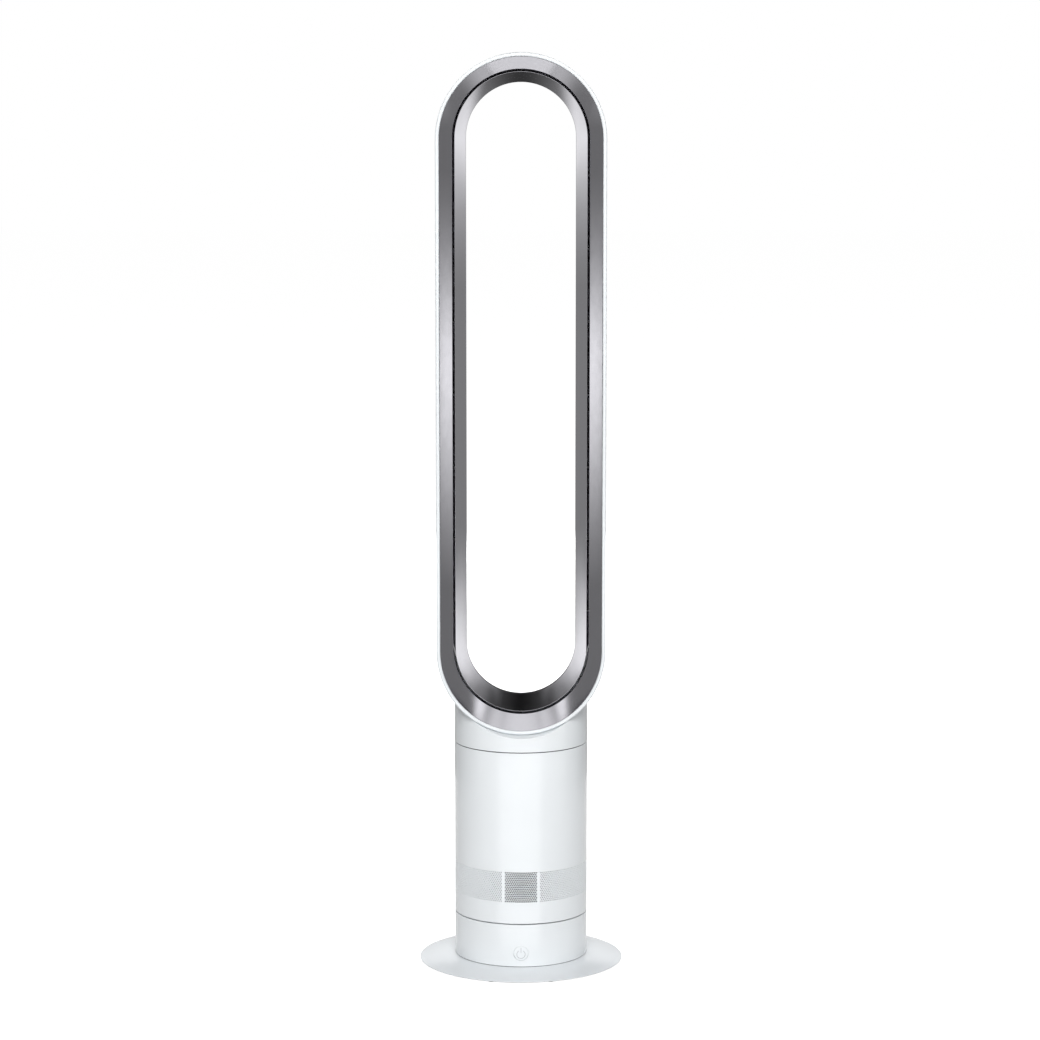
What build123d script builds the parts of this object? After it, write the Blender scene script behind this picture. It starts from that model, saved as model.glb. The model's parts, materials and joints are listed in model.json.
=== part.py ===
from build123d import *
import math
import os

# A bladeless tower fan. Millimetres, +Z up, the front faces -Y, the origin is the centre of
# the foot on the floor. A stadium-shaped air loop stands on a round body that oscillates on
# a short round base.

# ---------------------------------------------------------------- driving dimensions
overall_height = 1007.0

# Air loop. Its section is measured inwards from the loop's outside and along Y.
loop_width = 184.7
loop_depth = 110.0
loop_bottom = 264.8
rim_width = 4.1  # white rounded rim at the front
rim_depth = 9.0
casing_wall = 2.2
casing_nose_length = 25.0  # depth of the rounded rear edge, outer half
nose_inset = 16.0  # outside to the rearmost edge
throat_inset = 32.2  # outside to the narrowest part of the opening
throat_setback = 36.0  # rear edge to the throat
throat_bend = 11.0  # throat to the straight part of the inner wall, which ends at the slot
slot_inset = 19.0  # outside to the middle of the air slot
slot_gap = 1.6
slot_depth = 33.0  # front rim to the mouth of the slot
lip_thickness = 0.8
loop_wall = 1.8
slot_curl_radius = 5.0
band_setback = 1.8  # front rim to the front edge of the silver band
seam_clearance = 0.2
spacer_pitch = 80.0
spacer_thickness = 1.6
spacer_depth = 3.0

# Neck that carries the air into the loop
neck_width = 92.0
neck_depth = 56.0
neck_offset = -8.0  # middle of the neck in Y, under the flat part of the loop's casing
neck_wall = 2.0
neck_straight = 5.0

# Body and collar
body_diameter = 147.0
body_wall = 2.4
body_top = 248.1
collar_gap = 1.0
collar_saddle_clearance = 0.3
spigot_height = 6.0
spigot_root = 8.0
spigot_wall = 2.2
seat_thickness = 2.0
fit_clearance = 0.15
ledge_height = 3.0
ledge_width = 2.2

# Air inlet in the body, and the display behind the middle of it
inlet_bottom = 81.0
inlet_top = 115.3
inlet_rows = 5
inlet_columns = 60
inlet_hole = 5.4  # across the corners of a diamond hole
strip_angle = 15.5  # plain strips each side of the display
strip_width = 6.0  # degrees
display_width = 36.2
display_thickness = 1.4

# Foot and base
base_diameter = 226.0
foot_height = 1.5
foot_radius = 5.0
foot_inset = 10.0  # edge of the foot to the middle of its pads
foot_count = 10
disc_edge = 1.4
disc_floor = 8.4
disc_wall = 2.2
disc_edge_ring = 16.0
disc_bulge = 0.9
underplate_thickness = 1.5
underplate_screws = 5
underplate_screw_ring = 60.0
screw_radius = 1.5
screw_length = 6.0
screw_head_radius = 2.6
screw_head_height = 1.2
base_top = 55.9
base_roof = 3.0
base_groove = 0.7
base_groove_depth = 1.2
turn_gap = 1.2  # shadow gap between base and body

# Oscillation bearing and drive
spindle_radius = 20.0
spindle_bore = 15.0
running_clearance = 0.05
hub_wall = 4.0
hub_length = 20.0
hub_end_gap = 0.3
turntable_thickness = 3.0
turntable_rim_height = 6.0
gear_module = 1.5
gear_width = 6.0
spindle_gear_teeth = 40
pinion_teeth = 12
pressure_angle = 25.0
gear_backlash = 0.3
tooth_addendum = 0.8
tooth_dedendum = 1.1
flank_steps = 3
glide_inset = 8.1  # inside of the body to the outside of the glide ring
glide_width = 5.0
glide_groove = 1.5
drive_motor_radius = 17.0
drive_motor_height = 16.0
drive_motor_gap = 1.6
drive_shaft_radius = 2.5
drive_ear_thickness = 1.2
drive_ear_radius = 4.0
drive_ear_reach = 4.0  # can wall to the middle of an ear's hole
drive_post_radius = 3.5

# Power button and its board
button_height = 24.0
button_radius = 8.0
button_travel = 0.6
button_side_gap = 0.2
button_flange = 1.5
button_stem_radius = 3.0
board_setback = 11.0
board_width = 50.0
board_thickness = 1.6
board_slot_depth = 6.0
board_roof_gap = 8.0
switch_size = 6.0
switch_depth = 3.5
plunger_radius = 1.7
receiver_size = 5.0
receiver_offset = 14.0

# Cord gland at the back of the base
gland_height = 20.0
gland_bore_radius = 3.6
gland_radius = 6.5
gland_flange_radius = 8.5
gland_flange = 1.5

# Electronics on the turntable
drive_board_inset = 5.0  # inside of the cover to the edge of the board
drive_board_bore = 26.0
drive_board_post = 5.0
drive_board_post_inset = 15.0  # edge of the board to the middle of its posts
capacitor_radius = 5.0
capacitor_height = 8.0
cover_inset = 7.6  # inside of the body to the outside of the cover
cover_wall = 1.5
cover_gap = 0.8
foam_thickness = 5.0

# Motor and impeller
bellmouth_gap = 3.5  # top of the inlet holes to the bellmouth
bellmouth_height = 5.0
bellmouth_flare = 11.0
housing_inset = 12.7  # inside of the body to the inside of the housing
housing_taper = 13.4  # how much narrower the housing is at its inlet
housing_wall = 2.0
housing_cone_height = 40.0
housing_straight = 46.5
housing_flange = 2.0
housing_flange_width = 6.0
impeller_height = 29.0
impeller_end_gap = 1.0
impeller_tip_gap = 1.0
impeller_hub_low = 12.0
impeller_hub_high = 33.0
impeller_hub_wall = 2.5
impeller_boss_radius = 8.0
impeller_blades = 9
impeller_twist = 55.0
blade_thickness = 1.5
rotor_shaft_radius = 4.0
bucket_gap = 3.0
bucket_radius = 36.0
bucket_wall = 2.0
bucket_height = 30.0
cap_height = 22.0
cap_flat_radius = 6.0
vane_count = 12
vane_height = 18.0
vane_twist = -30.0
vane_ring_wall = 1.4
magnet_radius = 14.0
magnet_gap = 0.5
stator_height = 18.0
bearing_radius = 9.0
bearing_height = 6.0
bearing_boss_wall = 2.0
support_thickness = 4.0
mount_height = 2.5
mount_radius = 2.0
mount_count = 3
casing_foam_length = 50.0

# ---------------------------------------------------------------- derived places
loop_radius = loop_width / 2
loop_low = loop_bottom + loop_radius
loop_high = overall_height - loop_radius
front = -loop_depth / 2
rear = loop_depth / 2
nose_r = loop_radius - nose_inset
throat_r = loop_radius - throat_inset
throat_y = rear - throat_setback
slot_r = loop_radius - slot_inset
slot_y = front + slot_depth
lip_r = slot_r - slot_gap / 2
curl_r = slot_r + slot_gap / 2 + slot_curl_radius
curl_y = slot_y + seam_clearance

body_radius = body_diameter / 2
body_inner = body_radius - body_wall
base_radius = base_diameter / 2
foot_ring_radius = base_radius - foot_inset
body_bottom = base_top + turn_gap
deck = body_bottom + turntable_thickness
turntable_radius = body_inner - fit_clearance
glide_inner_radius = body_inner - glide_inset - glide_width
hub_bottom = base_top - hub_length
gear_top = hub_bottom - hub_end_gap
gear_bottom = gear_top - gear_width
gear_distance = gear_module * (spindle_gear_teeth + pinion_teeth) / 2
spindle_screw_ring = (spindle_radius + spindle_bore) / 2

drive_motor_top = gear_bottom - drive_motor_gap
drive_motor_bottom = drive_motor_top - drive_motor_height
drive_ear_bottom = drive_motor_top - drive_ear_thickness
drive_ear_offset = drive_motor_radius + drive_ear_reach

board_front = -(body_inner - board_setback)
switch_front = board_front - switch_depth
plunger_front = switch_front - button_travel - 0.5
button_flange_front = -math.sqrt(body_inner**2 - (button_radius + button_flange) ** 2) + 0.3

drive_board_bottom = deck + drive_board_post
drive_board_top = drive_board_bottom + board_thickness
cover_top = drive_board_top + capacitor_height + cover_gap + cover_wall
cover_radius = body_inner - cover_inset
drive_board_radius = cover_radius - cover_wall - drive_board_inset
drive_board_post_ring = drive_board_radius - drive_board_post_inset

housing_radius = body_inner - housing_inset
housing_inlet_radius = housing_radius - housing_taper
housing_bottom = inlet_top + bellmouth_gap + bellmouth_height
housing_shoulder = housing_bottom + housing_cone_height
housing_top = housing_shoulder + housing_straight
housing_outer = housing_radius + housing_wall
support_top = housing_top - housing_flange - mount_height
support_bottom = support_top - support_thickness
impeller_bottom = housing_bottom + impeller_end_gap
impeller_top = impeller_bottom + impeller_height
bucket_bottom = impeller_top + bucket_gap
bucket_floor = bucket_bottom + bucket_wall
bucket_top = bucket_bottom + bucket_height
upper_bearing_bottom = bucket_top + 2.0
gasket_top = housing_top + 2.0
pinion_bore = drive_shaft_radius + 0.02
rotor_bore = rotor_shaft_radius + 0.02


# ---------------------------------------------------------------- shapes used all over
def ring(outer, inner, low, high):
    """An upright tube, or a solid cylinder when inner is 0."""
    middle = Pos(0, 0, (low + high) / 2)
    shape = middle * Cylinder(outer, high - low)
    if inner > 0:
        shape -= middle * Cylinder(inner, high - low + 2)
    return shape


def post(x, y, radius, low, high):
    """An upright round post away from the axis."""
    return Pos(x, y, 0) * ring(radius, 0, low, high)


def rod(x, z, radius, start, end):
    """A round rod along Y."""
    return Pos(x, (start + end) / 2, z) * Rot(90, 0, 0) * Cylinder(radius, abs(end - start))


def block(low, high):
    """A box between two corners."""
    size = [b - a for a, b in zip(low, high)]
    middle = [(a + b) / 2 for a, b in zip(low, high)]
    return Pos(*middle) * Box(*size)


def turned(edges):
    """Turn a closed outline, drawn as (radius, height), about the upright axis."""
    return revolve(Plane.XZ * make_face(edges), Axis.Z, 360)


def elliptical_arc(centre, x_radius, y_radius, start, end):
    """Part of an ellipse from one angle to another."""
    return EllipticalCenterArc(centre, x_radius, y_radius, start, arc_size=end - start)


def round_axis(shape, count, start=0.0):
    """Copies of a shape spread evenly about the upright axis."""
    return [Rot(0, 0, start + 360 * i / count) * shape for i in range(count)]


def screw(x, y, low, high, head_up):
    """A pan-head screw whose shank runs from low to high."""
    head_low = high if head_up else low - screw_head_height
    shank = post(x, y, screw_radius, low, high)
    return shank + post(x, y, screw_head_radius, head_low, head_low + screw_head_height)


# ---------------------------------------------------------------- air loop
def touch_angle(point, centre, x_radius, y_radius):
    """Angle on an ellipse at which a line from a point in front of it touches its inner side."""
    u = (point[0] - centre[0]) / x_radius
    v = (point[1] - centre[1]) / y_radius
    return 360 + math.degrees(math.atan2(v, u) - math.acos(1 / math.hypot(u, v)))


def round_the_loop(section):
    """Carry a section, drawn as (distance from the loop's centre line, Y), round the loop."""
    right = extrude(Pos(0, 0, loop_low) * section, amount=loop_high - loop_low, dir=(0, 0, 1))
    top = revolve(Pos(0, 0, loop_high) * section, Axis((0, 0, loop_high), (0, -1, 0)), 180)
    bottom = revolve(Pos(0, 0, loop_low) * section, Axis((0, 0, loop_low), (0, 1, 0)), 180)
    return right + [top, mirror(right, about=Plane.YZ), bottom]


def casing_section():
    """White outer casing: rounded front rim, thin side wall, rounded rear edge."""
    seam_r = nose_r + seam_clearance
    nose_y = rear - casing_nose_length
    inner_r = loop_radius - casing_wall
    rim_inner = loop_radius - rim_width
    rim_y = front + rim_width / 2
    centre = (seam_r, nose_y)
    outer = elliptical_arc(centre, loop_radius - seam_r, casing_nose_length, 0, 90)
    inner = elliptical_arc(centre, inner_r - seam_r, casing_nose_length - casing_wall, 0, 90)
    tip = (loop_radius - rim_width / 2, front)
    inside = Polyline(
        (inner_r, nose_y),
        (inner_r, front + rim_depth),
        (rim_inner, front + rim_depth),
        (rim_inner, rim_y),
    )
    return make_face([
        ThreePointArc((rim_inner, rim_y), tip, (loop_radius, rim_y)),
        Line((loop_radius, rim_y), (loop_radius, nose_y)),
        outer,
        Line(outer @ 1, inner @ 1),
        inner,
        inside,
    ])


def inner_wall_section():
    """Silver inner wall: rear edge, throat and the thin lip at the air slot."""
    centre = (nose_r, throat_y)
    width = nose_r - throat_r
    rear_length = rear - throat_y

    def face_of_wall(inset, lip):
        """Rear and front quarter of one face, and its straight front down to the lip."""
        x_radius, front_radius = width - inset, throat_bend - inset
        rear_arc = elliptical_arc(centre, x_radius, rear_length - inset, 90, 180)
        end = touch_angle(lip, centre, x_radius, front_radius)
        front_arc = elliptical_arc(centre, x_radius, front_radius, 180, end)
        return [rear_arc, front_arc, Line(front_arc @ 1, lip)]

    lip_seen = (lip_r - lip_thickness, slot_y)
    lip_duct = (lip_r, slot_y)
    seen = face_of_wall(0, lip_seen)
    duct = face_of_wall(loop_wall, lip_duct)
    ends = [Line(lip_seen, lip_duct), Line(duct[0] @ 0, seen[0] @ 0)]
    return make_face([*seen, *duct, *ends])


def diffuser_section():
    """Silver front band, which curls back round the mouth of the slot."""
    centre = (curl_r, curl_y)
    back_radius = slot_curl_radius - loop_wall
    edge_r = loop_radius - rim_width - seam_clearance
    edge_y = front + band_setback
    slope = math.hypot(edge_r - slot_r, slot_y - edge_y) / (edge_r - slot_r)
    edge = (edge_r, edge_y)
    back_edge = (edge_r, edge_y + loop_wall * slope)
    touch = touch_angle(edge, centre, slot_curl_radius, slot_curl_radius)
    back_touch = touch_angle(back_edge, centre, back_radius, back_radius)
    seen = CenterArc(centre, slot_curl_radius, 90, touch - 90)
    back = CenterArc(centre, back_radius, 90, back_touch - 90)
    return make_face([
        seen,
        Line(seen @ 1, edge),
        Line(edge, back_edge),
        Line(back_edge, back @ 1),
        back,
        Line(back @ 0, seen @ 0),
    ])


def neck_outline(margin):
    """Outline of the air passage under the loop, grown by a margin."""
    width = neck_width + 2 * margin
    depth = neck_depth + 2 * margin
    return Pos(0, neck_offset) * RectangleRounded(width, depth, 0.48 * depth)


def neck_prism(margin, low, high):
    """The passage as an upright prism."""
    return extrude(Pos(0, 0, low) * neck_outline(margin), amount=high - low)


def under_loop(radius):
    """A round bar along Y about the centre of the loop's lower bend."""
    return rod(0, loop_low, radius, -base_radius, base_radius)


def loop_casing():
    hole = neck_prism(neck_wall + seam_clearance, loop_bottom - 1, loop_low - throat_r)
    return round_the_loop(casing_section()) - hole


def loop_inner_wall():
    return round_the_loop(inner_wall_section())


def loop_diffuser():
    return round_the_loop(diffuser_section())


def slot_spacers():
    """Small ribs behind the slot that keep the lip and the silver band apart."""
    start_y = curl_y + slot_curl_radius + seam_clearance
    half = spacer_thickness / 2
    low = (lip_r - lip_thickness, start_y, -half)
    high = (curl_r - seam_clearance, start_y + spacer_depth, half)
    rib = block(low, high)
    other_rib = mirror(rib, about=Plane.YZ)
    straight = loop_high - loop_low
    steps = max(1, round(straight / spacer_pitch))
    ribs = []
    for i in range(steps):
        height = loop_low + straight * (i + 0.5) / steps
        ribs += [Pos(0, 0, height) * rib, Pos(0, 0, height) * other_rib]
    for angle in (30, 90, 150):
        ribs.append(Pos(0, 0, loop_high) * Rot(0, -angle, 0) * rib)
        ribs.append(Pos(0, 0, loop_low) * Rot(0, angle, 0) * rib)
    return Compound(children=ribs)


# ---------------------------------------------------------------- collar and neck
def collar():
    """White collar, cut on top to the loop's round underside, with a seat for the body."""
    bottom = body_top + collar_gap
    seat_bottom = body_top + spigot_height
    saddle = loop_radius + collar_saddle_clearance
    outside = ring(body_radius, 0, bottom, loop_low) - under_loop(saddle)
    inside = ring(body_inner, 0, bottom - 1, loop_low) - under_loop(saddle + body_wall)
    seat = ring(body_inner + 0.5, body_inner - 5, seat_bottom, seat_bottom + seat_thickness)
    passage = neck_prism(neck_wall + seam_clearance, bottom, loop_low)
    return outside - inside + seat - passage


def neck_duct():
    """Hollow passage from the round housing to the long opening under the loop."""
    turn_height = loop_bottom - neck_straight

    def passage(margin):
        start = Pos(0, 0, gasket_top) * Circle(housing_radius + margin)
        end = Pos(0, 0, turn_height) * neck_outline(margin)
        return loft([start, end]) + neck_prism(margin, turn_height, loop_low)

    return passage(neck_wall) - passage(0) - under_loop(loop_radius - casing_wall)


def duct_gasket():
    """Soft ring between the housing and the neck."""
    return ring(housing_outer, housing_radius, housing_top, gasket_top)


# ---------------------------------------------------------------- body
def inlet_holes():
    """Staggered rows of diamond holes, left out where two plain strips flank the display."""
    row_pitch = (inlet_top - inlet_bottom) / inlet_rows
    side = inlet_hole / math.sqrt(2)
    hole = Pos(0, -body_radius, 0) * Rot(0, 45, 0) * Box(side, 4 * body_wall, side)
    holes = []
    for row in range(inlet_rows):
        height = inlet_bottom + row_pitch * (row + 0.5)
        for column in range(inlet_columns):
            angle = 360 / inlet_columns * (column + 0.5 * (row % 2))
            from_front = min(angle, 360 - angle)
            if abs(from_front - strip_angle) > strip_width / 2:
                holes.append(Rot(0, 0, angle) * Pos(0, 0, height) * hole)
    return holes


def body_casing():
    """White body cylinder with the inlet holes, a spigot for the collar and two ledges."""
    shell = ring(body_radius, body_inner, body_bottom, body_top)
    spigot_outer = body_inner - fit_clearance
    spigot_inner = spigot_outer - spigot_wall
    spigot = ring(spigot_outer, spigot_inner, body_top - spigot_root, body_top + spigot_height)
    root = ring(body_inner + 0.2, spigot_inner, body_top - spigot_root, body_top)
    ledge_inner = body_inner - ledge_width
    rim_top = deck + turntable_rim_height
    upper_ledge = ring(body_inner + 0.2, ledge_inner, support_bottom - ledge_height, support_bottom)
    lower_ledge = ring(body_inner + 0.2, ledge_inner, rim_top, rim_top + ledge_height)
    return shell + [spigot, root, upper_ledge, lower_ledge] - inlet_holes()


def display_panel():
    """Dark curved window behind the middle of the inlet holes."""
    outer = body_inner - fit_clearance
    half = display_width / 2
    band = ring(outer, outer - display_thickness, inlet_bottom, inlet_top)
    return band & block((-half, -body_radius, inlet_bottom), (half, 0, inlet_top))


def display_board():
    """Small upright board behind the window."""
    half = display_width / 2
    window_inner = body_inner - fit_clearance - display_thickness
    front_y = -math.sqrt(window_inner**2 - half**2) + fit_clearance
    return block((-half, front_y, inlet_bottom + 2), (half, front_y + board_thickness, inlet_top - 2))


# ---------------------------------------------------------------- foot and base
def underplate_posts(radius, low, high):
    """Round posts on the ring of screws under the foot."""
    return round_axis(post(underplate_screw_ring, 0, radius, low, high), underplate_screws, 90)


def board_socket():
    """Two upright slotted blocks that hold the lower edge of the control board."""
    half = board_width / 2
    blocks = []
    for side in (-1, 1):
        x = side * (half - 2)
        low = (x - 3, board_front - 2.5, disc_floor - 0.5)
        blocks.append(block(low, (x + 3, board_front + board_thickness + 2.5, disc_floor + board_slot_depth)))
    slot_low = (-half - 0.1, board_front - 0.1, disc_floor)
    slot_high = (half + 0.1, board_front + board_thickness + 0.1, disc_floor + board_slot_depth + 1)
    return blocks, block(slot_low, slot_high)


def base_disc():
    """Thin domed foot with a flat floor, screw bosses, motor posts and the board's socket."""
    edge_top = foot_height + disc_edge
    edge = 0.4
    seat = body_radius + 1.0
    under = disc_floor - disc_wall
    plate_top = foot_height + underplate_thickness
    ring_inner = base_radius - disc_edge_ring
    outline = Polyline(
        (base_radius - edge, edge_top),
        (base_radius, edge_top - edge),
        (base_radius, foot_height + edge),
        (base_radius - edge, foot_height),
        (ring_inner, foot_height),
        (ring_inner, plate_top),
        (seat, under),
        (spindle_bore, under),
        (spindle_bore, disc_floor),
        (seat, disc_floor),
    )
    dome = SagittaArc((seat, disc_floor), (base_radius - edge, edge_top), disc_bulge)
    blocks, slot = board_socket()
    sides = (-drive_ear_offset, drive_ear_offset)
    motor_posts = [
        post(gear_distance, y, drive_post_radius, disc_floor - 0.5, drive_ear_bottom) for y in sides
    ]
    low = drive_ear_bottom - screw_length
    pilots = [post(gear_distance, y, screw_radius, low, base_top) for y in sides]
    pilots += underplate_posts(screw_radius, foot_height, disc_floor - 0.8)
    bosses = underplate_posts(2.5 * screw_radius, plate_top, under + 0.5)
    return turned([dome, outline]) + [*bosses, *motor_posts, *blocks] - [slot, *pilots]


def base_underplate():
    """Flat plate that closes the foot from below."""
    outer = base_radius - disc_edge_ring - 0.5
    plate = ring(outer, spindle_bore, foot_height, foot_height + underplate_thickness)
    return plate - underplate_posts(screw_head_radius + 0.1, 0, foot_height + screw_head_height) \
        - underplate_posts(screw_radius, 0, disc_floor)


def base_screws():
    """Screws that hold the underplate, their heads sunk flush into it."""
    head_top = foot_height + screw_head_height
    one = screw(underplate_screw_ring, 0, head_top, disc_floor - 0.8, False)
    return Compound(children=round_axis(one, underplate_screws, 90))


def base_feet():
    """Rubber pads under the edge of the foot."""
    pad = post(foot_ring_radius, 0, foot_radius, 0, foot_height)
    return Compound(children=round_axis(pad, foot_count, 90 + 180 / foot_count))


def base_shell():
    """White base cylinder with its roof, the hub of the bearing and two side holes."""
    hub_inner = spindle_radius + running_clearance
    groove_top = disc_floor + base_groove
    wall = ring(body_radius, body_inner, groove_top, base_top)
    skirt = ring(body_radius - base_groove_depth, body_inner, disc_floor, groove_top + 1)
    roof = ring(body_inner + 0.5, hub_inner, base_top - base_roof, base_top)
    hub = ring(hub_inner + hub_wall, hub_inner, hub_bottom, base_top)
    glide_outer = glide_inner_radius + glide_width + 0.1
    groove = ring(glide_outer, glide_inner_radius - 0.1, base_top - glide_groove, base_top + 1)
    button_hole = rod(0, button_height, button_radius + button_side_gap, -body_radius - 5, board_front)
    gland_hole = rod(0, gland_height, gland_radius + 0.1, body_inner - 5, body_radius + 5)
    return wall + [skirt, roof, hub] - [groove, button_hole, gland_hole]


def glide_ring():
    """Slippery ring in the base's roof that the turntable turns on."""
    outer = glide_inner_radius + glide_width
    return ring(outer, glide_inner_radius, base_top - glide_groove, body_bottom)


def cord_gland():
    """Rubber gland in the back wall, with an empty bore."""
    inner_face = math.sqrt(body_inner**2 - gland_flange_radius**2) - 0.2
    outer_face = body_radius + 0.1
    tube = rod(0, gland_height, gland_radius, inner_face - gland_flange, outer_face + gland_flange)
    inside = rod(0, gland_height, gland_flange_radius, inner_face - gland_flange, inner_face)
    outside = rod(0, gland_height, gland_flange_radius, outer_face, outer_face + gland_flange)
    bore = rod(0, gland_height, gland_bore_radius, 0, 2 * body_radius)
    return tube + [inside, outside] - bore


# ---------------------------------------------------------------- button and its board
def control_board():
    half = board_width / 2
    top = base_top - base_roof - board_roof_gap
    return block((-half, board_front, disc_floor), (half, board_front + board_thickness, top))


def tact_switch():
    half = switch_size / 2
    low = (-half, switch_front, button_height - half)
    body = block(low, (half, board_front, button_height + half))
    bore = plunger_radius + running_clearance
    return body - rod(0, button_height, bore, switch_front - 1, board_front - 0.2)


def switch_plunger():
    """The switch's plunger, with room behind it for the button's travel."""
    back = board_front - 0.4 - button_travel
    return rod(0, button_height, plunger_radius, plunger_front, back)


def ir_receiver():
    half = receiver_size / 2
    low = (receiver_offset - half, board_front - receiver_size, button_height - half)
    return block(low, (receiver_offset + half, board_front, button_height + half))


def power_button():
    """Round button whose face follows the base's wall, with a flange behind the wall."""
    flange_back = button_flange_front + button_flange
    cap = rod(0, button_height, button_radius, -body_radius - 5, button_flange_front + 0.5)
    cap &= ring(body_radius, 0, disc_floor, base_top)
    flange = rod(0, button_height, button_radius + button_flange, button_flange_front, flange_back)
    stem = rod(0, button_height, button_stem_radius, flange_back - 0.5, plunger_front)
    return cap + [flange, stem]


# ---------------------------------------------------------------- oscillation drive
def gear(teeth, bore):
    """Spur gear with involute flanks, one tooth centred on +X."""
    pitch_radius = gear_module * teeth / 2
    pressure = math.radians(pressure_angle)
    base_circle = pitch_radius * math.cos(pressure)
    root = pitch_radius - tooth_dedendum * gear_module
    tip = pitch_radius + tooth_addendum * gear_module
    start = max(base_circle, root)
    half_tooth = math.pi / (2 * teeth) - gear_backlash / (4 * pitch_radius)

    def half_angle(radius):
        turn = math.acos(min(1.0, base_circle / radius))
        return half_tooth + math.tan(pressure) - pressure - math.tan(turn) + turn

    radii = [start + (tip - start) * i / flank_steps for i in range(flank_steps + 1)]
    if root < start:
        radii.insert(0, root)
    outline = []
    for tooth in range(teeth):
        middle = 2 * math.pi * tooth / teeth
        flank = [(r, middle - half_angle(max(r, start))) for r in radii]
        flank += [(r, middle + half_angle(max(r, start))) for r in reversed(radii)]
        outline += [(r * math.cos(a), r * math.sin(a)) for r, a in flank]
    face = make_face(Polyline(*outline, close=True)) - Circle(bore)
    return extrude(Pos(0, 0, gear_bottom) * face, amount=gear_width)


def spindle_screw_posts(radius, low, high):
    return round_axis(post(spindle_screw_ring, 0, radius, low, high), 3, 90)


def turntable():
    """Floor of the body with the hollow spindle that turns in the base's hub."""
    plate = ring(turntable_radius, spindle_bore, body_bottom, deck)
    spindle = ring(spindle_radius, spindle_bore, gear_top, body_bottom + 1)
    rim = ring(turntable_radius, turntable_radius - 2, deck - 1, deck + turntable_rim_height)
    posts = round_axis(post(drive_board_post_ring, 0, 3, deck - 1, drive_board_bottom), 3)
    pilots = spindle_screw_posts(screw_radius, gear_top - 1, gear_top + screw_length)
    return plate + [spindle, rim, *posts] - pilots


def spindle_gear():
    """Gear screwed to the spindle's end, which also keeps it in the hub."""
    return gear(spindle_gear_teeth, spindle_bore) - spindle_screw_posts(screw_radius, 0, base_top)


def spindle_screws():
    one = screw(spindle_screw_ring, 0, gear_bottom, gear_top + screw_length, False)
    return Compound(children=round_axis(one, 3, 90))


def drive_pinion():
    turned_half_a_tooth = Rot(0, 0, 180 + 180 / pinion_teeth)
    return Pos(gear_distance, 0, 0) * turned_half_a_tooth * gear(pinion_teeth, pinion_bore)


def pinion_shaft():
    return post(gear_distance, 0, drive_shaft_radius, drive_motor_bottom + 3, gear_top)


def oscillation_motor():
    """Flat geared motor that hangs by two ears on the foot's posts."""
    can = post(gear_distance, 0, drive_motor_radius, drive_motor_bottom, drive_motor_top)
    low = (gear_distance - drive_ear_radius, -drive_ear_offset, drive_ear_bottom)
    high = (gear_distance + drive_ear_radius, drive_ear_offset, drive_motor_top)
    sides = (-drive_ear_offset, drive_ear_offset)
    ends = [post(gear_distance, y, drive_ear_radius, drive_ear_bottom, drive_motor_top) for y in sides]
    holes = [post(gear_distance, y, screw_radius, 0, base_top) for y in sides]
    shaft_hole_radius = drive_shaft_radius + running_clearance
    shaft_hole = post(gear_distance, 0, shaft_hole_radius, drive_motor_bottom + 2.5, base_top)
    return can + [block(low, high), *ends] - [shaft_hole, *holes]


def motor_screws():
    low = drive_ear_bottom - screw_length
    sides = (-drive_ear_offset, drive_ear_offset)
    return Compound(children=[screw(gear_distance, y, low, drive_motor_top, True) for y in sides])


# ---------------------------------------------------------------- electronics of the body
def drive_board():
    return ring(drive_board_radius, drive_board_bore, drive_board_bottom, drive_board_top)


def board_capacitors():
    high = drive_board_top + capacitor_height
    one = post(drive_board_post_ring, 0, capacitor_radius, drive_board_top, high)
    return Compound(children=[Rot(0, 0, angle) * one for angle in (40, 60, 80)])


def electronics_cover():
    """Upturned dish over the drive board, with a hole for the wires."""
    wall = ring(cover_radius, cover_radius - cover_wall, deck, cover_top)
    return wall + ring(cover_radius - 1, 6, cover_top - cover_wall, cover_top)


def inlet_foam():
    """Foam disc on the cover, under the inlet chamber."""
    return ring(cover_radius - 8, 10, cover_top, cover_top + foam_thickness)


# ---------------------------------------------------------------- impeller and motor
def inlet_bellmouth():
    """Flared ring that leads the air into the impeller's housing."""
    centre = (housing_inlet_radius + bellmouth_flare, housing_bottom)
    back_radii = (bellmouth_flare - housing_wall, bellmouth_height - housing_wall)
    seen = elliptical_arc(centre, bellmouth_flare, bellmouth_height, 180, 270)
    back = elliptical_arc(centre, *back_radii, 180, 270)
    return turned([seen, back, Line(seen @ 0, back @ 0), Line(seen @ 1, back @ 1)])


def impeller_housing():
    """Cone round the impeller, then a straight barrel with a flange on top."""
    inlet_outer = housing_inlet_radius + housing_wall
    flange_radius = housing_outer + housing_flange_width
    flange_bottom = housing_top - housing_flange
    return turned([Polyline(
        (housing_inlet_radius, housing_bottom),
        (housing_radius, housing_shoulder),
        (housing_radius, housing_top),
        (flange_radius, housing_top),
        (flange_radius, flange_bottom),
        (housing_outer, flange_bottom),
        (housing_outer, housing_shoulder),
        (inlet_outer, housing_bottom),
        close=True,
    )])


def housing_inside(height):
    """Inner radius of the housing's cone at a height."""
    share = (height - housing_bottom) / housing_cone_height
    return housing_inlet_radius + share * (housing_radius - housing_inlet_radius)


def support_ring():
    """Shelf on the casing's upper ledge that carries the housing."""
    return ring(turntable_radius, housing_outer + 0.6, support_bottom, support_top)


def isolation_mounts():
    """Rubber mounts between the shelf and the housing's flange."""
    middle = housing_outer + housing_flange_width - mount_radius - 0.5
    one = post(middle, 0, mount_radius, support_top, support_top + mount_height)
    return Compound(children=round_axis(one, mount_count))


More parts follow.
